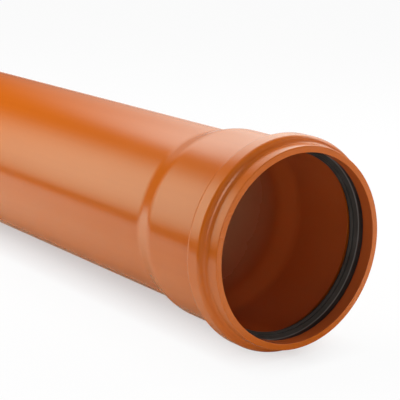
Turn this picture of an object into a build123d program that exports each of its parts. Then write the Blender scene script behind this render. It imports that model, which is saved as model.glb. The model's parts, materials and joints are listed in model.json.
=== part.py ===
"""Socketed plastic drain pipe with its rubber lip seal, lying on a level floor (millimetres)."""
import os
from math import radians, tan

from build123d import *

# Barrel
outside_diameter = 110.0  # of the barrel and so of the spigot
wall = 3.2  # even up to the collar: the socket is formed from the barrel's own wall
laying_length = 500.0  # spigot end to the inner end of the socket
spigot_chamfer_length = 6.0  # along the axis
spigot_chamfer_angle = 15.0  # degrees to the axis

# Socket
socket_depth = 68.0  # mouth to the inner end of the straight bore
socket_clearance = 0.9  # all round between a spigot and the socket's bore
flare_angle = 15.0  # degrees to the axis
flare_bend = 23.0  # outside radius where the barrel opens into the flare
shoulder_bend = 25.0  # outside radius where the flare meets the socket
collar_length = 9.1  # mouth to the front flank of the seal groove
collar_thickening = 0.65  # how much thicker than the wall the collar is
mouth_chamfer = 0.5  # on both edges of the mouth's face

# Seal groove and the bead that it raises outside
groove_depth = 5.1  # below the socket's bore
groove_width = 8.2  # along its floor
front_flank_angle = 61.4  # degrees to the axis
rear_flank_angle = 65.0
groove_edge = 2.4  # rounding of the edge between collar and groove
bead_front_edge = 4.5  # roundings of the bead's outside, from its front to its rear
bead_rear_edge = 3.4
bead_foot = 1.2
neck_bend = 2.4  # hollow between the collar and the bead

# Seal ring
seal_clearance = 0.15  # to the floor and both flanks of the groove
seal_front_height = 2.5  # top of the front face above the socket's bore
seal_ridge_height = 1.4  # ridge where the front face turns into the lip
seal_ridge_setback = 1.7  # ridge behind the front corner of the groove's floor
seal_body_height = 1.7  # underside of the body above the socket's bore
lip_squeeze = 1.3  # how far the lip reaches inside a spigot's surface
lip_run = 3.8  # ridge to the lip's tip, along the axis
lip_land = 1.0  # straight bore at the lip's tip
lip_thickness = 1.8


def mitre(thickness: float, angle: float) -> float:
    """Shift of a corner along the axis when a wall at this angle is offset by a thickness."""
    return thickness * tan(radians(angle / 2))


def run(rise: float, angle: float) -> float:
    """Length along the axis of a flank that rises so far at this angle."""
    return rise / tan(radians(angle))


sharp = 0.0  # corners without a rounding

# Radii from the pipe's axis
barrel_radius = outside_diameter / 2
bore_radius = barrel_radius - wall
socket_radius = barrel_radius + socket_clearance
groove_radius = socket_radius + groove_depth
bead_radius = groove_radius + wall
socket_outside = socket_radius + wall
collar_outside = socket_outside + collar_thickening
spigot_tip_radius = barrel_radius - spigot_chamfer_length * tan(radians(spigot_chamfer_angle))

# Places along the axis of the inside corners, from the mouth to the spigot's end
overall_length = laying_length + socket_depth
mouth = overall_length / 2
spigot_end = -mouth
collar_end = mouth - collar_length
groove_front = collar_end - run(groove_depth, front_flank_angle)
groove_rear = groove_front - groove_width
groove_foot = groove_rear - run(groove_depth, rear_flank_angle)
socket_end = mouth - socket_depth
flare_start = socket_end - run(socket_radius - bore_radius, flare_angle)

# Shifts of the outside corners, which keep the wall even round each bend
front_mitre = mitre(wall, front_flank_angle)
rear_mitre = mitre(wall, rear_flank_angle)
flare_mitre = mitre(wall, flare_angle)
bead_front = groove_front + front_mitre
neck = bead_front + run(bead_radius - collar_outside, front_flank_angle)

# The axis lies level, as high as the bead is wide, and sections are drawn above it
axis_height = bead_radius
section_plane = Plane(origin=(0, 0, axis_height), x_dir=(1, 0, 0), z_dir=(0, -1, 0))
pipe_axis = Axis((0, 0, axis_height), (1, 0, 0))

# Each corner: place along the axis, radius from the axis, rounding
pipe_corners = [
    (spigot_end, bore_radius, sharp),
    (spigot_end, spigot_tip_radius, sharp),
    (spigot_end + spigot_chamfer_length, barrel_radius, sharp),
    (flare_start - flare_mitre, barrel_radius, flare_bend),
    (socket_end - flare_mitre, socket_outside, shoulder_bend),
    (groove_foot - rear_mitre, socket_outside, bead_foot),
    (groove_rear - rear_mitre, bead_radius, bead_rear_edge),
    (bead_front, bead_radius, bead_front_edge),
    (neck, collar_outside, neck_bend),
    (mouth - mouth_chamfer, collar_outside, sharp),
    (mouth, collar_outside - mouth_chamfer, sharp),
    (mouth, socket_radius + mouth_chamfer, sharp),
    (mouth - mouth_chamfer, socket_radius, sharp),
    (collar_end, socket_radius, groove_edge),
    (groove_front, groove_radius, sharp),
    (groove_rear, groove_radius, sharp),
    (groove_foot, socket_radius, sharp),
    (socket_end, socket_radius, shoulder_bend - wall),
    (flare_start, bore_radius, flare_bend + wall),
]

with BuildPart() as pipe:
    with BuildSketch(section_plane):
        with BuildLine():
            FilletPolyline(
                *[(place, radius) for place, radius, _ in pipe_corners],
                radius=[rounding for _, _, rounding in pipe_corners],
                close=True,
            )
        make_face()
    revolve(axis=pipe_axis)

# The seal fills the groove's front and floor, and its lip leans inwards from the ridge
seal_radius = groove_radius - seal_clearance
floor_front = groove_front - mitre(seal_clearance, front_flank_angle)
floor_rear = groove_rear + mitre(seal_clearance, rear_flank_angle)
front_radius = socket_radius + seal_front_height
front_place = floor_front + run(seal_radius - front_radius, front_flank_angle)
ridge_radius = socket_radius + seal_ridge_height
ridge_place = groove_front - seal_ridge_setback
body_radius = socket_radius + seal_body_height
body_rear = floor_rear - run(seal_radius - body_radius, rear_flank_angle)
lip_radius = barrel_radius - lip_squeeze
lip_front = ridge_place - lip_run
lip_slope = lip_run / (ridge_radius - lip_radius)
lip_setback = lip_thickness * (1 + lip_slope**2) ** 0.5

# The lip's underside starts behind its land and runs up to the body, parallel to its top
heel_place = lip_front - lip_land
heel_radius = lip_radius + (lip_setback - lip_land) / lip_slope
root_place = lip_front - lip_setback + (body_radius - lip_radius) * lip_slope

seal_corners = [
    (floor_front, seal_radius),
    (front_place, front_radius),
    (ridge_place, ridge_radius),
    (lip_front, lip_radius),
    (heel_place, lip_radius),
    (heel_place, heel_radius),
    (root_place, body_radius),
    (body_rear, body_radius),
    (floor_rear, seal_radius),
]

with BuildPart() as seal_ring:
    with BuildSketch(section_plane):
        with BuildLine():
            Polyline(*seal_corners, close=True)
        make_face()
    revolve(axis=pipe_axis)

os.makedirs("parts", exist_ok=True)
pipe.part.label = "pipe"
seal_ring.part.label = "seal_ring"
export_step(pipe.part, "parts/pipe.step")
export_step(seal_ring.part, "parts/seal_ring.step")
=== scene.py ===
"""Dresses a socketed plastic drain pipe and its rubber lip seal, in a plain pale studio (metres)."""
import json
import logging
import math
from dataclasses import dataclass
from enum import Enum

import bmesh
import bpy
from bpy.types import Material, Mesh, Node, NodeSocket, NodeTree, Object
from mathutils import Matrix, Vector


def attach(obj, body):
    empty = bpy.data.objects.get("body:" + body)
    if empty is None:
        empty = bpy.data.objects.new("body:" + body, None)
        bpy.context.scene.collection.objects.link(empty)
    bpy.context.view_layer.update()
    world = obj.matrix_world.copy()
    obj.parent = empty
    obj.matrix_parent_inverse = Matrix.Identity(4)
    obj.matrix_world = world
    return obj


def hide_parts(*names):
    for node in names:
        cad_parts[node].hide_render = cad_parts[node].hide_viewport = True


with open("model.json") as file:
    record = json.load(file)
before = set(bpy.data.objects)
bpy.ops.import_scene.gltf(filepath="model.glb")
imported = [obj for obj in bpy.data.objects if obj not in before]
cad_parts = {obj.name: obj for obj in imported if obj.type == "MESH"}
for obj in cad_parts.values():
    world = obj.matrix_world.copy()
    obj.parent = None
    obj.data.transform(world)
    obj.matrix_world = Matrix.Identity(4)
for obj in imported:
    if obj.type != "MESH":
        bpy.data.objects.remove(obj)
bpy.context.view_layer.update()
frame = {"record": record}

log = logging.getLogger("drain_pipe")

Point = tuple[float, float, float]
Colour = tuple[float, float, float]

MM = 0.001
BODY = "root"
INSIDE = "inside"

WHITE = (1.0, 1.0, 1.0)

# Middle of a noise and of a panel's UV map
MIDDLE = 0.5

# Facets in a rounded corner, from wide bends to the slightest edge
BEND_STEPS = 10
EDGE_STEPS = 8
SOFT_STEPS = 6
FINE_STEPS = 5
SLIGHT_STEPS = 2


class CadNode(Enum):
    """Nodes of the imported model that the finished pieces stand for."""

    PIPE = "pipe"
    SEAL = "seal_ring"


class Slot(Enum):
    """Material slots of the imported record."""

    PLASTIC = "pipe"
    RUBBER = "seal_ring"


class Value:
    """A number that changes over a surface; arithmetic on it adds Math nodes."""

    def __init__(self, sheet: "NodeSheet", socket: NodeSocket) -> None:
        """Wraps a socket that gives a number.

        Args:
            sheet: the node tree that the socket is in.
            socket: an output of one of its nodes.
        """
        self.sheet = sheet
        self.socket = socket

    def _math(self, operation: str, *terms: "float | Value", clamp: bool = False) -> "Value":
        """Adds a Math node.

        Args:
            operation: the node's operation.
            terms: its values, in order.
            clamp: whether the result is kept between 0 and 1.

        Returns:
            The node's result.
        """
        settings = {"operation": operation, "use_clamp": clamp}
        node = self.sheet.add("ShaderNodeMath", settings, dict(enumerate(terms)))
        return Value(self.sheet, node.outputs[0])

    def __add__(self, other: "float | Value") -> "Value":
        """This value plus another."""
        return self._math("ADD", self, other)

    def __radd__(self, other: float) -> "Value":
        """A number plus this value."""
        return self._math("ADD", other, self)

    def __sub__(self, other: "float | Value") -> "Value":
        """This value less another."""
        return self._math("SUBTRACT", self, other)

    def __rsub__(self, other: float) -> "Value":
        """A number less this value."""
        return self._math("SUBTRACT", other, self)

    def __mul__(self, other: "float | Value") -> "Value":
        """This value times another."""
        return self._math("MULTIPLY", self, other)

    def __truediv__(self, other: "float | Value") -> "Value":
        """This value divided by another."""
        return self._math("DIVIDE", self, other)

    def __rtruediv__(self, other: float) -> "Value":
        """A number divided by this value."""
        return self._math("DIVIDE", other, self)

    def __pow__(self, other: "float | Value") -> "Value":
        """This value to a power."""
        return self._math("POWER", self, other)

    def exp(self) -> "Value":
        """e to the power of this value."""
        return self._math("EXPONENT", self)

    def sine(self) -> "Value":
        """The sine of this value, in radians."""
        return self._math("SINE", self)

    def size(self) -> "Value":
        """This value without its sign."""
        return self._math("ABSOLUTE", self)

    def rise(self, low: float, high: float) -> "Value":
        """A straight ramp of this value.

        Args:
            low: where the ramp is 0.
            high: where it is 1; it may be below low, and then the ramp falls.

        Returns:
            The ramp, kept between 0 and 1.
        """
        above = self - low
        return self._math("DIVIDE", above, high - low, clamp=True)


@dataclass(frozen=True)
class NoisePattern:
    """A cloud of noise: its clouds per metre along each axis, its finer layers, and a ramp to read it by."""

    scale: Point
    detail: float
    roughness: float = 0.5
    ramp: tuple[float, float] = (0.0, 1.0)


class NodeSheet:
    """The node tree of one finish."""

    def __init__(self, tree: NodeTree) -> None:
        """Takes a tree and empties it.

        Args:
            tree: the tree of a material or the world.
        """
        tree.nodes.clear()
        self.tree = tree

    def add(
        self,
        kind: str,
        settings: dict[str, object] | None = None,
        sockets: dict[str | int, object] | None = None,
    ) -> Node:
        """Adds a node, sets it, and then fills or links its sockets.

        Args:
            kind: the node's type.
            settings: its own settings.
            sockets: a number, colour, Value or output for each input, by name or number.

        Returns:
            The new node.
        """
        node = self.tree.nodes.new(kind)
        for name, setting in (settings or {}).items():
            setattr(node, name, setting)
        for key, given in (sockets or {}).items():
            source = given.socket if isinstance(given, Value) else given
            if isinstance(source, NodeSocket):
                self.tree.links.new(source, node.inputs[key])
            else:
                node.inputs[key].default_value = source
        return node

    def value(self, node: Node, output: str | int) -> Value:
        """One output of a node as a Value."""
        return Value(self, node.outputs[output])

    def blend(self, amount: Value, first: object, second: object) -> NodeSocket:
        """Mixes two colours.

        Args:
            amount: 0 gives the first colour, 1 the second.
            first: a colour or an output.
            second: a colour or an output.

        Returns:
            The mixed colour.
        """
        first_input, second_input, result = 6, 7, 2
        sockets = {0: amount, first_input: first, second_input: second}
        return self.add("ShaderNodeMix", {"data_type": "RGBA"}, sockets).outputs[result]

    def from_axis(self, place: NodeSocket, axis_height: float) -> NodeSocket:
        """Coordinates that start on the pipe's axis.

        Args:
            place: coordinates that start on the floor.
            axis_height: height of the axis above it.

        Returns:
            The moved coordinates.
        """
        sockets = {"Vector": place, "Location": (0.0, 0.0, -axis_height)}
        return self.add("ShaderNodeMapping", None, sockets).outputs[0]

    def split(self, place: NodeSocket) -> tuple[Value, Value, Value]:
        """The three coordinates of a place."""
        parts = self.add("ShaderNodeSeparateXYZ", None, {0: place})
        return self.value(parts, "X"), self.value(parts, "Y"), self.value(parts, "Z")

    def noise(self, place: NodeSocket, pattern: NoisePattern) -> Value:
        """Adds a cloud of noise.

        Args:
            place: the coordinates that it reads.
            pattern: what it looks like.

        Returns:
            The noise before its ramp, about 0.5 on average.
        """
        mapping = {"Vector": place, "Scale": pattern.scale}
        stretched = self.add("ShaderNodeMapping", {"vector_type": "POINT"}, mapping)
        sockets = {
            "Vector": stretched.outputs[0],
            "Scale": 1.0,
            "Detail": pattern.detail,
            "Roughness": pattern.roughness,
        }
        return self.value(self.add("ShaderNodeTexNoise", {"noise_dimensions": "3D"}, sockets), "Fac")

    def bump(self, height: Value, depth: float) -> NodeSocket:
        """Turns a height into a bent normal.

        Args:
            height: from 0 to 1.
            depth: what a height of 1 stands for, in metres.

        Returns:
            The normal.
        """
        sockets = {"Strength": 1.0, "Distance": depth, "Height": height}
        return self.add("ShaderNodeBump", None, sockets).outputs["Normal"]

    def surface(self, shader: Node) -> None:
        """Adds the material's output and feeds it a shader."""
        self.add("ShaderNodeOutputMaterial", None, {"Surface": shader.outputs[0]})

    def layer(self, amount: Value, below: Node, above: Node) -> Node:
        """Mixes two shaders.

        Args:
            amount: 0 shows the lower shader, 1 the upper one.
            below: the lower shader.
            above: the upper shader.

        Returns:
            The mix.
        """
        sockets = {0: amount, 1: below.outputs[0], 2: above.outputs[0]}
        return self.add("ShaderNodeMixShader", None, sockets)

    def glow(self, colour: Colour, radiance: float) -> Node:
        """Adds a shader that gives off light of its own.

        Args:
            colour: its colour.
            radiance: its strength, where 1 is white.

        Returns:
            The shader.
        """
        return self.add("ShaderNodeEmission", None, {"Color": opaque(colour), "Strength": radiance})


def opaque(colour: Colour) -> tuple[float, float, float, float]:
    """A colour with full alpha."""
    return (*colour, 1.0)


def new_finish(name: str) -> tuple[Material, NodeSheet]:
    """Adds a material.

    Args:
        name: its name.

    Returns:
        The material and its empty node tree.
    """
    material = bpy.data.materials.new(name)
    material.use_nodes = True
    return material, NodeSheet(material.node_tree)


@dataclass(frozen=True)
class PipePlastic:
    """Through-coloured PVC with a satin skin, faint draw lines and sawn ends; its bore is darker as painted
    shade, with thin dust and a painted glow deep in.
    """

    axis_height: float
    mouth: float
    spigot_end: float
    colour: Colour = (0.63, 0.135, 0.0055)
    deep_colour: Colour = (0.585, 0.120, 0.004)
    sawn_colour: Colour = (0.66, 0.140, 0.008)
    # Painted shade: the bore takes a darker, slightly greyer copy of the skin's colour
    shaded_inside_colour: Colour = (0.54, 0.100, 0.013)
    # Thin dust all over the bore, and deeper in a painted glow that stands for light on the far wall; the
    # glow fades out towards the spigot
    dust_and_glow_colour: Colour = (0.88, 0.47, 0.25)
    glow_start: float = 85.0 * MM
    glow_end: float = 135.0 * MM
    glow_fade_start: float = 40.0 * MM
    glow_fade_end: float = 220.0 * MM
    roughness: float = 0.19
    refraction: float = 1.52
    clouds: NoisePattern = NoisePattern((7.0, 16.0, 16.0), detail=3.0, ramp=(0.30, 0.72))
    draw_lines: NoisePattern = NoisePattern((1.2, 210.0, 210.0), detail=3.0, roughness=0.6, ramp=(0.35, 0.70))
    grain: NoisePattern = NoisePattern((900.0, 900.0, 900.0), detail=2.0)
    rubs: NoisePattern = NoisePattern((60.0, 25.0, 25.0), detail=4.0, roughness=0.65, ramp=(0.56, 0.74))
    saw_pitch: float = 0.45 * MM
    sawn_full: float = 0.1 * MM
    sawn_reach: float = 0.3 * MM

    # How much each of them shows in the colour, the roughness and the relief
    cloud_tint: float = 0.55
    line_tint: float = 0.35
    sawn_tint: float = 0.8
    inside_shade: float = 0.9
    thin_dust: float = 0.06
    glow_strength: float = 0.86
    uneven_dust: float = 0.1
    cloud_gloss: float = 0.06
    line_gloss: float = 0.05
    rub_gloss: float = 0.07
    sawn_gloss: float = 0.06
    dust_and_glow_gloss: float = 0.25
    line_relief: float = 0.7
    grain_relief: float = 0.3
    relief_depth: float = 0.012 * MM

    def make(self) -> Material:
        """Builds the material.

        Returns:
            The material, on Object coordinates.
        """
        material, sheet = new_finish("pipe_plastic")
        place = sheet.add("ShaderNodeTexCoord").outputs["Object"]
        centred = sheet.from_axis(place, self.axis_height)
        along, across, up = sheet.split(centred)
        radius = (across**2.0 + up**2.0) ** 0.5

        clouds = sheet.noise(centred, self.clouds)
        draw_lines = sheet.noise(centred, self.draw_lines)
        grain = sheet.noise(centred, self.grain)
        rubs = sheet.noise(centred, self.rubs).rise(*self.rubs.ramp)

        sawn = along.rise(self.mouth - self.sawn_reach, self.mouth - self.sawn_full)
        sawn = sawn + along.rise(self.spigot_end + self.sawn_reach, self.spigot_end + self.sawn_full)
        saw_marks = (radius * (math.tau / self.saw_pitch)).sine() * 0.5 + 0.5

        depth = clouds.rise(*self.clouds.ramp) * self.cloud_tint
        depth = depth + draw_lines.rise(*self.draw_lines.ramp) * self.line_tint
        skin = sheet.blend(depth, opaque(self.colour), opaque(self.deep_colour))
        tint = sheet.blend(sawn * self.sawn_tint, skin, opaque(self.sawn_colour))
        inside = sheet.value(sheet.add("ShaderNodeAttribute", {"attribute_name": INSIDE}), "Fac")
        # Painted shade: the surface that faces the axis takes the darker bore colour
        tint = sheet.blend(inside * self.inside_shade, tint, opaque(self.shaded_inside_colour))
        # Painted glow deep in the bore, laid over a thin even dust and fading out towards the spigot; both
        # also roughen the surface
        deep_glow = along.rise(self.mouth - self.glow_start, self.mouth - self.glow_end)
        glow_fade_start = self.spigot_end + self.glow_fade_start
        deep_glow = deep_glow * along.rise(glow_fade_start, self.spigot_end + self.glow_fade_end)
        dust_and_glow = self.thin_dust + deep_glow * self.glow_strength + (clouds - MIDDLE) * self.uneven_dust
        dust_and_glow = inside * dust_and_glow
        tint = sheet.blend(dust_and_glow, tint, opaque(self.dust_and_glow_colour))

        gloss = self.roughness + (clouds - MIDDLE) * self.cloud_gloss
        gloss = gloss + (draw_lines - MIDDLE) * self.line_gloss + rubs * self.rub_gloss
        gloss = gloss + sawn * self.sawn_gloss + dust_and_glow * self.dust_and_glow_gloss
        relief = draw_lines * self.line_relief + grain * self.grain_relief
        relief = relief * (1.0 - sawn) + saw_marks * sawn
        sockets = {
            "Base Color": tint,
            "Roughness": gloss,
            "IOR": self.refraction,
            "Normal": sheet.bump(relief, self.relief_depth),
        }
        sheet.surface(sheet.add("ShaderNodeBsdfPrincipled", None, sockets))
        return material


@dataclass(frozen=True)
class SealRubber:
    """Black moulded rubber with a faint grey bloom and a painted highlight along its ridge."""

    axis_height: float
    ridge_radius: float
    colour: Colour = (0.023, 0.024, 0.022)
    bloom_colour: Colour = (0.058, 0.061, 0.059)
    # Painted highlight: a pale thin line along the ridge, where its rounding catches light
    ridge_highlight_colour: Colour = (0.20, 0.195, 0.185)
    highlight_core: float = 0.10 * MM
    highlight_reach: float = 0.34 * MM
    roughness: float = 0.40
    refraction: float = 1.5
    bloom: NoisePattern = NoisePattern((140.0, 45.0, 45.0), detail=4.0, roughness=0.6, ramp=(0.42, 0.70))
    grain: NoisePattern = NoisePattern((1500.0, 1500.0, 1500.0), detail=2.0)
    bloom_tint: float = 0.7
    even_highlight: float = 0.5
    patchy_highlight: float = 0.5
    bloom_gloss: float = 0.25
    grain_gloss: float = 0.10
    grain_depth: float = 0.02 * MM

    def make(self) -> Material:
        """Builds the material.

        Returns:
            The material, on Object coordinates.
        """
        material, sheet = new_finish("seal_rubber")
        place = sheet.add("ShaderNodeTexCoord").outputs["Object"]
        _, across, up = sheet.split(sheet.from_axis(place, self.axis_height))
        off_ridge = ((across**2.0 + up**2.0) ** 0.5 - self.ridge_radius).size()
        bloom = sheet.noise(place, self.bloom)
        grain = sheet.noise(place, self.grain)

        bloomed = bloom.rise(*self.bloom.ramp) * self.bloom_tint
        skin = sheet.blend(bloomed, opaque(self.colour), opaque(self.bloom_colour))
        # Painted highlight: the ridge is paler in a thin line, patchy with the bloom
        ridge_highlight = off_ridge.rise(self.highlight_reach, self.highlight_core)
        ridge_highlight = ridge_highlight * (self.even_highlight + bloom * self.patchy_highlight)
        gloss = self.roughness + (bloom - MIDDLE) * self.bloom_gloss
        gloss = gloss + (grain - MIDDLE) * self.grain_gloss
        sockets = {
            "Base Color": sheet.blend(ridge_highlight, skin, opaque(self.ridge_highlight_colour)),
            "Roughness": gloss,
            "IOR": self.refraction,
            "Normal": sheet.bump(grain, self.grain_depth),
        }
        sheet.surface(sheet.add("ShaderNodeBsdfPrincipled", None, sockets))
        return material


@dataclass(frozen=True)
class Corner:
    """One corner of a turned section: its place along the axis, its radius, and how it is rounded."""

    place: float
    radius: float
    rounding: float = 0.0
    steps: int = SOFT_STEPS


@dataclass
class TurnedPiece:
    """A piece of revolution about the pipe's axis."""

    axis_height: float
    segments: int = 320
    long_run: float = 0.2
    long_run_rings: int = 15
    crease: float = math.radians(12.5)
    weld: float = 0.005 * MM
    same_ring: float = 0.01 * MM
    normal_weight: int = 100

    def corners(self) -> list[Corner]:
        """The closed section, in order."""
        raise NotImplementedError

    def turn(self, name: str) -> Object:
        """Models the piece: a ring is drawn out along the section, closed, and its corners rounded.

        Args:
            name: the piece's name.

        Returns:
            The piece, with its place in its mesh.
        """
        corners = self.corners()
        piece = self._draw_out(corners)
        piece.name = name
        for index, corner in enumerate(corners):
            if corner.rounding > 0:
                self._round(piece.data, corners[index - 1], corner, corners[(index + 1) % len(corners)])
        self._divide_long_runs(piece.data)
        bpy.ops.object.mode_set(mode="OBJECT")
        self._smooth(piece)
        return piece

    def _draw_out(self, corners: list[Corner]) -> Object:
        """Extrudes a ring of edges from corner to corner and closes it on itself.

        Args:
            corners: the section.

        Returns:
            The piece, in edit mode.
        """
        start = corners[0]
        bpy.ops.object.select_all(action="DESELECT")
        bpy.ops.mesh.primitive_circle_add(
            vertices=self.segments,
            radius=start.radius,
            location=(start.place, 0.0, self.axis_height),
            rotation=(0.0, math.pi / 2, 0.0),
        )
        piece = bpy.context.object
        bpy.ops.object.transform_apply(location=True, rotation=True, scale=True)
        bpy.ops.object.mode_set(mode="EDIT")
        bpy.ops.mesh.select_mode(type="EDGE")
        bpy.ops.mesh.select_all(action="SELECT")
        for before, after in zip(corners, corners[1:] + corners[:1]):
            step = (after.place - before.place, 0.0, 0.0)
            bpy.ops.mesh.extrude_region_move(TRANSFORM_OT_translate={"value": step})
            growth = after.radius / before.radius
            centre = (after.place, 0.0, self.axis_height)
            bpy.ops.transform.resize(value=(1.0, growth, growth), center_override=centre)
        bpy.ops.mesh.select_all(action="SELECT")
        bpy.ops.mesh.remove_doubles(threshold=self.weld)
        bpy.ops.mesh.normals_make_consistent(inside=False)
        return piece

    def _round(self, mesh: Mesh, before: Corner, corner: Corner, after: Corner) -> None:
        """Rounds one corner all the way round the piece.

        Args:
            mesh: the piece's mesh, in edit mode.
            before: the corner before it.
            corner: the corner to round.
            after: the corner after it.
        """
        arriving = Vector((corner.place - before.place, corner.radius - before.radius))
        leaving = Vector((after.place - corner.place, after.radius - corner.radius))
        setback = corner.rounding * math.tan(arriving.angle(leaving) / 2)
        bpy.ops.mesh.select_all(action="DESELECT")
        cage = bmesh.from_edit_mesh(mesh)
        for edge in cage.edges:
            edge.select_set(all(self._is_at(vertex.co, corner) for vertex in edge.verts))
        bmesh.update_edit_mesh(mesh)
        bpy.ops.mesh.bevel(
            offset_type="OFFSET",
            offset=setback,
            segments=corner.steps,
            affect="EDGES",
            clamp_overlap=False,
        )

    def _is_at(self, point: Vector, corner: Corner) -> bool:
        """Whether a vertex is on the ring of a corner."""
        radius = math.hypot(point.y, point.z - self.axis_height)
        level = abs(point.x - corner.place) < self.same_ring
        return level and abs(radius - corner.radius) < self.same_ring

    def _divide_long_runs(self, mesh: Mesh) -> None:
        """Cuts long straight runs into even rings.

        Args:
            mesh: the piece's mesh, in edit mode.
        """
        bpy.ops.mesh.select_all(action="DESELECT")
        cage = bmesh.from_edit_mesh(mesh)
        long_edges = [edge for edge in cage.edges if edge.calc_length() > self.long_run]
        for edge in long_edges:
            edge.select_set(True)
        bmesh.update_edit_mesh(mesh)
        if long_edges:
            bpy.ops.mesh.subdivide(number_cuts=self.long_run_rings)

    def _smooth(self, piece: Object) -> None:
        """Shades the roundings smooth, and keeps the runs between them true.

        Args:
            piece: the piece, in object mode.
        """
        bpy.ops.object.shade_smooth_by_angle(angle=self.crease)
        bpy.ops.object.modifier_add(type="WEIGHTED_NORMAL")
        modifier = piece.modifiers[-1]
        modifier.keep_sharp = True
        modifier.weight = self.normal_weight
        bpy.ops.object.modifier_apply(modifier=modifier.name)

    def hand_in(self, piece: Object, node: CadNode, slot: Slot, finish: Material) -> Object:
        """Dresses a finished piece and puts it in the place of its CAD node.

        Args:
            piece: the piece.
            node: the node that it stands for.
            slot: the record's slot for its finish; not used.
            finish: its material.

        Returns:
            The same piece.
        """
        piece.data.materials.clear()
        piece.data.materials.append(finish)
        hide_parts(node.value)
        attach(piece, BODY)
        log.info("%s: %d faces, stands for %s", piece.name, len(piece.data.polygons), node.value)
        return piece


@dataclass
class SocketedPipe(TurnedPiece):
    """The pipe: barrel, flare, socket, the bead over the seal's groove, and the collar before it."""

    mouth: float = 0.284
    spigot_end: float = -0.284
    barrel_radius: float = 55.0 * MM
    wall: float = 3.2 * MM
    spigot_chamfer: float = 6.0 * MM
    spigot_chamfer_angle: float = math.radians(15.0)
    sawn_edge: float = 0.25 * MM
    socket_depth: float = 68.0 * MM
    socket_clearance: float = 0.9 * MM
    flare_angle: float = math.radians(15.0)
    flare_bend: float = 23.0 * MM
    shoulder_bend: float = 25.0 * MM
    collar_length: float = 9.1 * MM
    collar_thickening: float = 0.65 * MM
    mouth_edge: float = 0.6 * MM
    mouth_chamfer: float = 0.25 * MM
    groove_depth: float = 5.1 * MM
    groove_width: float = 8.2 * MM
    front_flank: float = math.radians(61.4)
    rear_flank: float = math.radians(65.0)
    groove_edge: float = 2.4 * MM
    bead_front_edge: float = 4.5 * MM
    bead_rear_edge: float = 3.4 * MM
    bead_foot: float = 1.2 * MM
    neck_bend: float = 2.4 * MM
    collar_draft: float = 0.45 * MM
    inward: float = 0.8

    @property
    def socket_radius(self) -> float:
        """Radius of the socket's bore."""
        return self.barrel_radius + self.socket_clearance

    @property
    def groove_radius(self) -> float:
        """Radius of the groove's floor."""
        return self.socket_radius + self.groove_depth

    @property
    def groove_front(self) -> float:
        """Place of the front end of the groove's floor."""
        return self.mouth - self.collar_length - self.groove_depth / math.tan(self.front_flank)

    @property
    def groove_rear(self) -> float:
        """Place of the rear end of the groove's floor."""
        return self.groove_front - self.groove_width

    def corners(self) -> list[Corner]:
        """The pipe's section: outside from the spigot to the mouth, then inside and back."""
        bore = self.barrel_radius - self.wall
        socket_outside = self.socket_radius + self.wall
        bead = self.groove_radius + self.wall
        tip = self.barrel_radius - self.spigot_chamfer * math.tan(self.spigot_chamfer_angle)
        chamfer_end = self.spigot_end + self.spigot_chamfer
        collar_end = self.mouth - self.collar_length
        groove_foot = self.groove_rear - self.groove_depth / math.tan(self.rear_flank)
        socket_end = self.mouth - self.socket_depth
        flare_start = socket_end - (self.socket_radius - bore) / math.tan(self.flare_angle)
        front_shift = self.wall * math.tan(self.front_flank / 2)
        rear_shift = self.wall * math.tan(self.rear_flank / 2)
        flare_shift = self.wall * math.tan(self.flare_angle / 2)
        collar_outside = socket_outside + self.collar_thickening
        neck_radius = collar_outside + self.collar_draft
        neck = self.groove_front + front_shift + (bead - neck_radius) / math.tan(self.front_flank)
        return [
            Corner(self.spigot_end, bore, self.sawn_edge, EDGE_STEPS),
            Corner(self.spigot_end, tip, self.sawn_edge, EDGE_STEPS),
            Corner(chamfer_end, self.barrel_radius, self.sawn_edge, SLIGHT_STEPS),
            Corner(flare_start - flare_shift, self.barrel_radius, self.flare_bend, BEND_STEPS),
            Corner(socket_end - flare_shift, socket_outside, self.shoulder_bend, BEND_STEPS),
            Corner(groove_foot - rear_shift, socket_outside, self.bead_foot, EDGE_STEPS),
            Corner(self.groove_rear - rear_shift, bead, self.bead_rear_edge, EDGE_STEPS),
            Corner(self.groove_front + front_shift, bead, self.bead_front_edge, BEND_STEPS),
            Corner(neck, neck_radius, self.neck_bend, BEND_STEPS),
            Corner(self.mouth, collar_outside, self.mouth_edge, BEND_STEPS),
            Corner(self.mouth, self.socket_radius + self.mouth_chamfer, self.sawn_edge, FINE_STEPS),
            Corner(self.mouth - self.mouth_chamfer, self.socket_radius, self.sawn_edge, FINE_STEPS),
            Corner(collar_end, self.socket_radius, self.groove_edge, EDGE_STEPS),
            Corner(self.groove_front, self.groove_radius),
            Corner(self.groove_rear, self.groove_radius),
            Corner(groove_foot, self.socket_radius, self.sawn_edge, SOFT_STEPS),
            Corner(socket_end, self.socket_radius, self.shoulder_bend - self.wall, BEND_STEPS),
            Corner(flare_start, bore, self.flare_bend + self.wall, BEND_STEPS),
        ]

    def build(self) -> Object:
        """Models and dresses the pipe.

        Returns:
            The finished piece.
        """
        finish = PipePlastic(self.axis_height, self.mouth, self.spigot_end)
        piece = self.turn("socketed_pipe")
        self._mark_inside(piece.data)
        return self.hand_in(piece, CadNode.PIPE, Slot.PLASTIC, finish.make())

    def _mark_inside(self, mesh: Mesh) -> None:
        """Marks the surface that faces the axis, which takes the painted shade, the dust and the painted
        glow.

        Args:
            mesh: the finished mesh.
        """
        marks = mesh.attributes.new(INSIDE, "FLOAT", "POINT").data
        for vertex in mesh.vertices:
            outwards = Vector((0.0, vertex.co.y, vertex.co.z - self.axis_height)).normalized()
            marks[vertex.index].value = float(vertex.normal.dot(outwards) < -self.inward)


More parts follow.
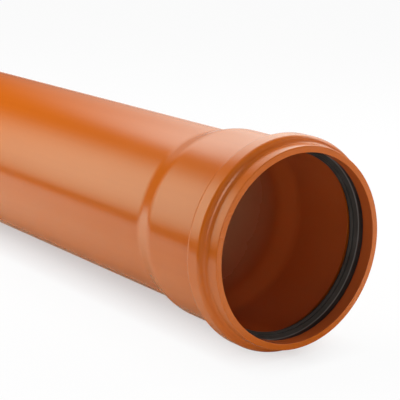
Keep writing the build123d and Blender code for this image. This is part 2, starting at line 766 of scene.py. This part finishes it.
@dataclass
class LipSeal(TurnedPiece):
    """The rubber ring in the groove: a body, a ridge at its front, and a lip that leans inwards."""

    groove_front: float = 0.0
    groove_rear: float = 0.0
    groove_radius: float = 0.0
    socket_radius: float = 0.0
    front_flank: float = 0.0
    rear_flank: float = 0.0
    clearance: float = 0.15 * MM
    front_height: float = 2.5 * MM
    ridge_height: float = 1.4 * MM
    ridge_setback: float = 1.7 * MM
    body_height: float = 1.7 * MM
    lip_reach: float = 2.2 * MM
    lip_run: float = 3.8 * MM
    lip_land: float = 1.0 * MM
    lip_thickness: float = 1.8 * MM
    ridge_edge: float = 0.4 * MM
    soft_edge: float = 0.25 * MM
    bead_line: float = 0.64
    bead_line_width: float = 0.7 * MM
    bead_line_depth: float = 0.35 * MM

    def corners(self) -> list[Corner]:
        """The seal's section: front face, ridge, lip, underside and the floor of the groove."""
        back = self.groove_radius - self.clearance
        floor_front = self.groove_front - self.clearance * math.tan(self.front_flank / 2)
        floor_rear = self.groove_rear + self.clearance * math.tan(self.rear_flank / 2)
        front_radius = self.socket_radius + self.front_height
        front_place = floor_front + (back - front_radius) / math.tan(self.front_flank)
        body = self.socket_radius + self.body_height
        body_rear = floor_rear - (back - body) / math.tan(self.rear_flank)
        ridge = Vector((self.groove_front - self.ridge_setback, self.socket_radius + self.ridge_height))
        tip = Vector((ridge.x - self.lip_run, self.socket_radius - self.lip_reach))
        slope = self.lip_run / (ridge.y - tip.y)
        setback = self.lip_thickness * math.hypot(1.0, slope)
        heel = tip.x - self.lip_land
        heel_radius = tip.y + (setback - self.lip_land) / slope
        root = tip.x - setback + (body - tip.y) * slope
        run = (tip - ridge).normalized()
        line = ridge.lerp(tip, self.bead_line)
        line_start = line - run * self.bead_line_width / 2
        line_end = line + run * self.bead_line_width / 2
        line_floor = line + Vector((run.y, -run.x)) * self.bead_line_depth
        return [
            Corner(floor_front, back),
            Corner(front_place, front_radius, self.soft_edge, SOFT_STEPS),
            Corner(ridge.x, ridge.y, self.ridge_edge, EDGE_STEPS),
            Corner(line_start.x, line_start.y, self.soft_edge / 2, FINE_STEPS),
            Corner(line_floor.x, line_floor.y),
            Corner(line_end.x, line_end.y, self.soft_edge / 2, FINE_STEPS),
            Corner(tip.x, tip.y, self.soft_edge, SOFT_STEPS),
            Corner(heel, tip.y, self.soft_edge, EDGE_STEPS),
            Corner(heel, heel_radius, self.soft_edge, SOFT_STEPS),
            Corner(root, body),
            Corner(body_rear, body, self.soft_edge, SOFT_STEPS),
            Corner(floor_rear, back),
        ]

    def build(self) -> Object:
        """Models and dresses the seal.

        Returns:
            The finished piece.
        """
        ridge_middle = self.socket_radius + self.ridge_height - self.ridge_edge / 2
        finish = SealRubber(self.axis_height, ridge_middle)
        return self.hand_in(self.turn("lip_seal"), CadNode.SEAL, Slot.RUBBER, finish.make())


@dataclass(frozen=True)
class Lamp:
    """A large soft lamp that lights the scene without showing in the pipe's gloss."""

    name: str
    place: Point
    aim: Point
    width: float
    height: float
    radiance: float

    def hang(self) -> Object:
        """Adds the lamp.

        Returns:
            The lamp.
        """
        bpy.ops.object.light_add(type="AREA", location=self.place)
        lamp = bpy.context.object
        lamp.name = self.name
        beam = Vector(self.aim) - Vector(self.place)
        lamp.rotation_euler = beam.to_track_quat("-Z", "Y").to_euler()
        lamp.data.shape = "RECTANGLE"
        lamp.data.size = self.width
        lamp.data.size_y = self.height
        lamp.data.energy = self.radiance * math.pi * self.width * self.height
        lamp.visible_camera = False
        lamp.visible_glossy = False
        return lamp


@dataclass(frozen=True)
class GlossCard:
    """A card that only shows in the gloss of the pipe: a bright panel, or a flag or screen of one tone."""

    name: str

    def put_up(self, card: Object, material: Material) -> Object:
        """Dresses a card and hides it from all but mirrored rays.

        Args:
            card: the card's mesh, in place.
            material: its material.

        Returns:
            The card.
        """
        card.name = self.name
        card.data.materials.clear()
        card.data.materials.append(material)
        card.visible_camera = False
        card.visible_diffuse = False
        card.visible_shadow = False
        card.visible_transmission = False
        return card


@dataclass(frozen=True)
class BrightPanel(GlossCard):
    """A bright panel that fades to clear at its edges."""

    aim: Point
    heading: float
    rise: float
    distance: float
    roll: float
    half_width: float
    half_height: float
    fade_width: float
    fade_height: float
    radiance: float
    colour: Colour = WHITE
    margin: float = 5.0

    def build(self) -> Object:
        """Adds the panel, which faces the point that it is aimed at.

        Returns:
            The panel.
        """
        out = Vector(
            (
                math.cos(self.rise) * math.cos(self.heading),
                math.cos(self.rise) * math.sin(self.heading),
                math.sin(self.rise),
            )
        )
        level = Vector((0.0, 0.0, 1.0)).cross(out).normalized()
        upright = out.cross(level)
        side = level * math.cos(self.roll) + upright * math.sin(self.roll)
        top = upright * math.cos(self.roll) - level * math.sin(self.roll)
        width = 2 * (self.half_width + self.margin * self.fade_width)
        height = 2 * (self.half_height + self.margin * self.fade_height)
        bpy.ops.object.select_all(action="DESELECT")
        bpy.ops.mesh.primitive_plane_add(size=1.0)
        panel = bpy.context.object
        turn = Matrix((side * width, top * height, out)).transposed().to_4x4()
        panel.data.transform(Matrix.Translation(Vector(self.aim) + out * self.distance) @ turn)
        return self.put_up(panel, self._glow(width, height))

    def _glow(self, width: float, height: float) -> Material:
        """Builds the fading light of the panel.

        Args:
            width: of the whole mesh.
            height: of the whole mesh.

        Returns:
            The material.
        """
        material, sheet = new_finish(self.name + "_light")
        across, along, _ = sheet.split(sheet.add("ShaderNodeTexCoord").outputs["UV"])
        across = ((across - MIDDLE) * width).size()
        along = ((along - MIDDLE) * height).size()
        fade = 1.0 + ((across - self.half_width) / self.fade_width).exp()
        fade = fade * (1.0 + ((along - self.half_height) / self.fade_height).exp())
        clear = sheet.add("ShaderNodeBsdfTransparent")
        sheet.surface(sheet.layer(1.0 / fade, clear, sheet.glow(self.colour, self.radiance)))
        return material


@dataclass(frozen=True)
class PlainCard(GlossCard):
    """A card of one tone: a dark flag on the floor, a dark dome, or a pale screen at the pipe's mouth."""

    colour: Colour = (0.02, 0.02, 0.02)
    sides: int = 96
    dome_rings: int = 24
    dome_foot: float = -0.1

    def _tone(self) -> Material:
        """One plain tone, the same from all sides."""
        material, sheet = new_finish(self.name + "_tone")
        sheet.surface(sheet.glow(self.colour, 1.0))
        return material

    def lay(self, low: tuple[float, float], high: tuple[float, float], lift: float) -> Object:
        """Lays the card on the floor.

        Args:
            low: its corner with the lowest x and y.
            high: its corner with the highest x and y.
            lift: its height above the floor.

        Returns:
            The card.
        """
        bpy.ops.object.select_all(action="DESELECT")
        bpy.ops.mesh.primitive_plane_add(size=1.0)
        card = bpy.context.object
        spread = Matrix.Diagonal((high[0] - low[0], high[1] - low[1], 1.0, 1.0))
        middle = Matrix.Translation(((low[0] + high[0]) / 2, (low[1] + high[1]) / 2, lift))
        card.data.transform(middle @ spread)
        return self.put_up(card, self._tone())

    def stand(self, place: Point, inner: float, outer: float) -> Object:
        """Stands the card across the pipe's axis, as a ring or a full disc.

        Args:
            place: its middle.
            inner: radius of its opening, 0 for a full disc.
            outer: its radius.

        Returns:
            The card.
        """
        bpy.ops.object.select_all(action="DESELECT")
        bpy.ops.mesh.primitive_circle_add(vertices=self.sides, radius=outer, fill_type="NGON")
        card = bpy.context.object
        if inner > 0.0:
            bpy.ops.object.mode_set(mode="EDIT")
            bpy.ops.mesh.select_all(action="SELECT")
            bpy.ops.mesh.inset(thickness=outer - inner)
            bpy.ops.mesh.delete(type="FACE")
            bpy.ops.object.mode_set(mode="OBJECT")
        card.data.transform(Matrix.Translation(place) @ Matrix.Rotation(math.pi / 2, 4, "Y"))
        return self.put_up(card, self._tone())

    def arch(self, radius: float) -> Object:
        """Arches the dome over the studio.

        Args:
            radius: of the dome.

        Returns:
            The dome.
        """
        bpy.ops.object.select_all(action="DESELECT")
        rings = self.dome_rings
        bpy.ops.mesh.primitive_uv_sphere_add(segments=2 * rings, ring_count=rings, radius=radius)
        dome = bpy.context.object
        foot = (0.0, 0.0, self.dome_foot)
        bpy.ops.object.mode_set(mode="EDIT")
        bpy.ops.mesh.select_all(action="SELECT")
        bpy.ops.mesh.bisect(plane_co=foot, plane_no=(0.0, 0.0, 1.0), clear_inner=True)
        bpy.ops.object.mode_set(mode="OBJECT")
        return self.put_up(dome, self._tone())


@dataclass
class Studio:
    """A pale floor and surroundings, soft lamps, the cards that shape the gloss, and the camera."""

    axis_height: float

    # Floor, its lift to white and the shade that stays under the pipe
    floor_size: float = 14.0
    floor_colour: Colour = (0.85, 0.85, 0.85)
    mirrored_colour: Colour = (0.84, 1.0, 0.80)
    far_lift: float = 0.95
    shade_depth: float = 0.50
    shade_width: float = 0.045
    shade_start: float = -0.25
    shade_end: float = 0.26
    mirrored_start: float = 0.05
    mirrored_end: float = 0.45
    surroundings: Colour = (0.155, 0.155, 0.155)
    backdrop: Colour = (0.97, 0.97, 0.97)

    # Cards: what the panels are aimed at, flags round the pale table, screens at the mouth
    aim_place: float = 0.2005
    table_front: float = -0.29
    table_rear: float = 0.60
    table_end: float = 0.60
    mouth_flag_low: tuple[float, float] = (0.29, -0.06)
    mouth_flag_high: tuple[float, float] = (0.32, 0.08)
    flag_lift: float = 1.0 * MM
    dome_radius: float = 4.0
    ring_place: float = 0.290
    ring_opening: float = 0.073
    ring_radius: float = 0.60
    ring_colour: Colour = (0.40, 0.36, 0.33)
    disc_place: float = 0.2845
    disc_radius: float = 0.0555
    disc_colour: Colour = (0.31, 0.21, 0.16)

    # Camera
    camera_place: Point = (0.84955, -0.48129, 0.27861)
    camera_heading: float = math.radians(144.013)
    camera_dip: float = math.radians(14.065)
    lens: float = 121.85
    sensor: float = 36.0

    def hang_lamps(self) -> None:
        """Hangs the lamps."""
        lamps = (
            Lamp(
                "overhead_lamp", place=(-0.25, 0.0, 0.80), aim=(-0.05, 0.0, 0.06),
                width=0.60, height=0.60, radiance=5.0,
            ),
            Lamp(
                "rear_lamp", place=(0.25, 0.70, 0.60), aim=(0.20, 0.0, 0.06),
                width=0.60, height=0.60, radiance=3.8,
            ),
            Lamp(
                "front_lamp", place=(-0.975, -0.853, 0.563), aim=(0.10, 0.0, 0.06),
                width=0.80, height=1.08, radiance=3.75,
            ),
            Lamp(
                "mouth_lamp", place=(1.30, -0.40, 0.15), aim=(0.20, 0.0, 0.06),
                width=0.60, height=0.30, radiance=4.2,
            ),
            Lamp(
                "side_lamp", place=(0.75, 0.75, 0.25), aim=(0.25, -0.05, 0.06),
                width=0.40, height=0.40, radiance=4.0,
            ),
            Lamp(
                "low_lamp", place=(0.30, -1.00, 0.08), aim=(0.15, 0.0, 0.05),
                width=0.40, height=0.40, radiance=2.2,
            ),
        )
        for lamp in lamps:
            lamp.hang()

    def put_up_cards(self) -> None:
        """Puts up the bright panels, the dark flags and the screens."""
        aim = (self.aim_place, 0.0, self.axis_height)
        panels = (
            BrightPanel(
                "front_panel", aim, heading=math.radians(215.84), rise=math.radians(19.0), distance=1.532,
                roll=0.327, half_width=0.402, half_height=0.538, fade_width=0.099, fade_height=0.112,
                radiance=2.75, colour=(0.69, 1.0, 0.78),
            ),
            BrightPanel(
                "rear_panel", aim, heading=math.radians(146.24), rise=math.radians(46.9), distance=0.291,
                roll=0.198, half_width=0.136, half_height=0.050, fade_width=0.016, fade_height=0.048,
                radiance=3.5, colour=(0.80, 1.0, 0.94),
            ),
            BrightPanel(
                "side_panel", aim, heading=math.radians(103.0), rise=math.radians(33.0), distance=0.6,
                roll=0.0, half_width=0.24, half_height=0.10, fade_width=0.03, fade_height=0.03,
                radiance=2.9, colour=(0.90, 1.0, 0.90),
            ),
            BrightPanel(
                "mouth_panel", aim, heading=math.radians(-10.5), rise=math.radians(13.9), distance=1.2,
                roll=0.0, half_width=0.196, half_height=0.420, fade_width=0.05, fade_height=0.05,
                radiance=4.9, colour=(1.0, 0.95, 0.80),
            ),
            BrightPanel(
                "far_wall", aim, heading=math.radians(125.0), rise=math.radians(12.0), distance=1.5,
                roll=0.0, half_width=0.50, half_height=0.26, fade_width=0.15, fade_height=0.08,
                radiance=1.5, colour=(1.0, 0.95, 0.85),
            ),
        )
        for panel in panels:
            panel.build()

        reach = self.dome_radius
        table_corner = (self.table_end, self.table_front)
        PlainCard("front_flag").lay((-reach, -reach), (reach, self.table_front), self.flag_lift)
        PlainCard("end_flag").lay(table_corner, (reach, self.table_rear), self.flag_lift)
        PlainCard("mouth_flag").lay(self.mouth_flag_low, self.mouth_flag_high, self.flag_lift)
        PlainCard("dark_dome").arch(reach)

        # Seen from the spigot, these two keep the panel before the mouth out of the gloss
        ring = PlainCard("screen_ring", self.ring_colour)
        ring.stand((self.ring_place, 0.0, self.axis_height), self.ring_opening, self.ring_radius)
        disc = PlainCard("screen_disc", self.disc_colour)
        disc.stand((self.disc_place, 0.0, self.axis_height), 0.0, self.disc_radius)

    def _rays(self, sheet: NodeSheet) -> tuple[Value, Value]:
        """Tells what sees a surface.

        Args:
            sheet: the surface's node tree.

        Returns:
            1 for the camera's own rays, and 1 for rays that were mirrored or let through.
        """
        rays = sheet.add("ShaderNodeLightPath")
        mirrored = sheet.value(rays, "Is Glossy Ray") + sheet.value(rays, "Is Transmission Ray")
        return sheet.value(rays, "Is Camera Ray"), mirrored

    def lay_floor(self) -> Object:
        """Adds the floor, which looks white where it is lit and keeps a soft shadow.

        Returns:
            The floor.
        """
        bpy.ops.object.select_all(action="DESELECT")
        bpy.ops.mesh.primitive_plane_add(size=self.floor_size, location=(0.0, 0.0, 0.0))
        floor = bpy.context.object
        floor.name = "floor"
        material, sheet = new_finish("floor_white")
        seen, mirrored = self._rays(sheet)
        along, across, _ = sheet.split(sheet.add("ShaderNodeTexCoord").outputs["Object"])
        across = across.size()
        under = across.rise(self.shade_width, 0.0)
        under = under * along.rise(self.shade_start - self.shade_width, self.shade_start)
        under = under * along.rise(self.shade_end + self.shade_width, self.shade_end)
        lift = seen * (self.far_lift - under * self.shade_depth)
        lift = lift + mirrored * across.rise(self.mirrored_start, self.mirrored_end) * self.far_lift
        tint = sheet.blend(mirrored, opaque(self.floor_colour), opaque(self.mirrored_colour))
        paint = sheet.add("ShaderNodeBsdfDiffuse", None, {"Color": tint})
        sheet.surface(sheet.layer(lift, paint, sheet.glow(WHITE, 1.0)))
        floor.data.materials.append(material)
        return floor

    def light_surroundings(self) -> None:
        """Gives the world one plain grey light and a white look."""
        world = bpy.data.worlds.new("studio")
        world.use_nodes = True
        sheet = NodeSheet(world.node_tree)
        seen, mirrored = self._rays(sheet)
        tint = sheet.blend(seen + mirrored, opaque(self.surroundings), opaque(self.backdrop))
        light = sheet.add("ShaderNodeBackground", None, {"Color": tint, "Strength": 1.0})
        sheet.add("ShaderNodeOutputWorld", None, {"Surface": light.outputs[0]})
        bpy.context.scene.world = world

    def place_camera(self) -> Object:
        """Adds the camera where the photograph was taken from.

        Returns:
            The camera.
        """
        turn = (math.pi / 2 - self.camera_dip, 0.0, self.camera_heading - math.pi / 2)
        bpy.ops.object.camera_add(location=self.camera_place, rotation=turn)
        camera = bpy.context.object
        camera.data.sensor_width = self.sensor
        camera.data.lens = self.lens
        bpy.context.scene.camera = camera
        return camera

    def build(self) -> None:
        """Sets up the whole studio."""
        self.place_camera()
        self.lay_floor()
        self.light_surroundings()
        self.hang_lamps()
        self.put_up_cards()
        bpy.context.scene.view_settings.view_transform = "Standard"


def main() -> None:
    """Builds the pipe and its seal, and the studio round them."""
    logging.basicConfig(level=logging.INFO, format="%(message)s")
    mounts = {mount["name"]: mount for mount in frame["record"]["mounts"]}
    axis_height = mounts["socket"]["pos_m"][2]
    pipe = SocketedPipe(
        axis_height,
        mouth=mounts["mouth_face"]["pos_m"][0],
        spigot_end=mounts["spigot_face"]["pos_m"][0],
        barrel_radius=mounts["spigot"]["dims"]["r_mm"] * MM,
    )
    pipe.build()
    seal = LipSeal(
        axis_height,
        groove_front=pipe.groove_front,
        groove_rear=pipe.groove_rear,
        groove_radius=pipe.groove_radius,
        socket_radius=pipe.socket_radius,
        front_flank=pipe.front_flank,
        rear_flank=pipe.rear_flank,
    )
    seal.build()
    Studio(axis_height).build()


if __name__ == "__main__":
    main()
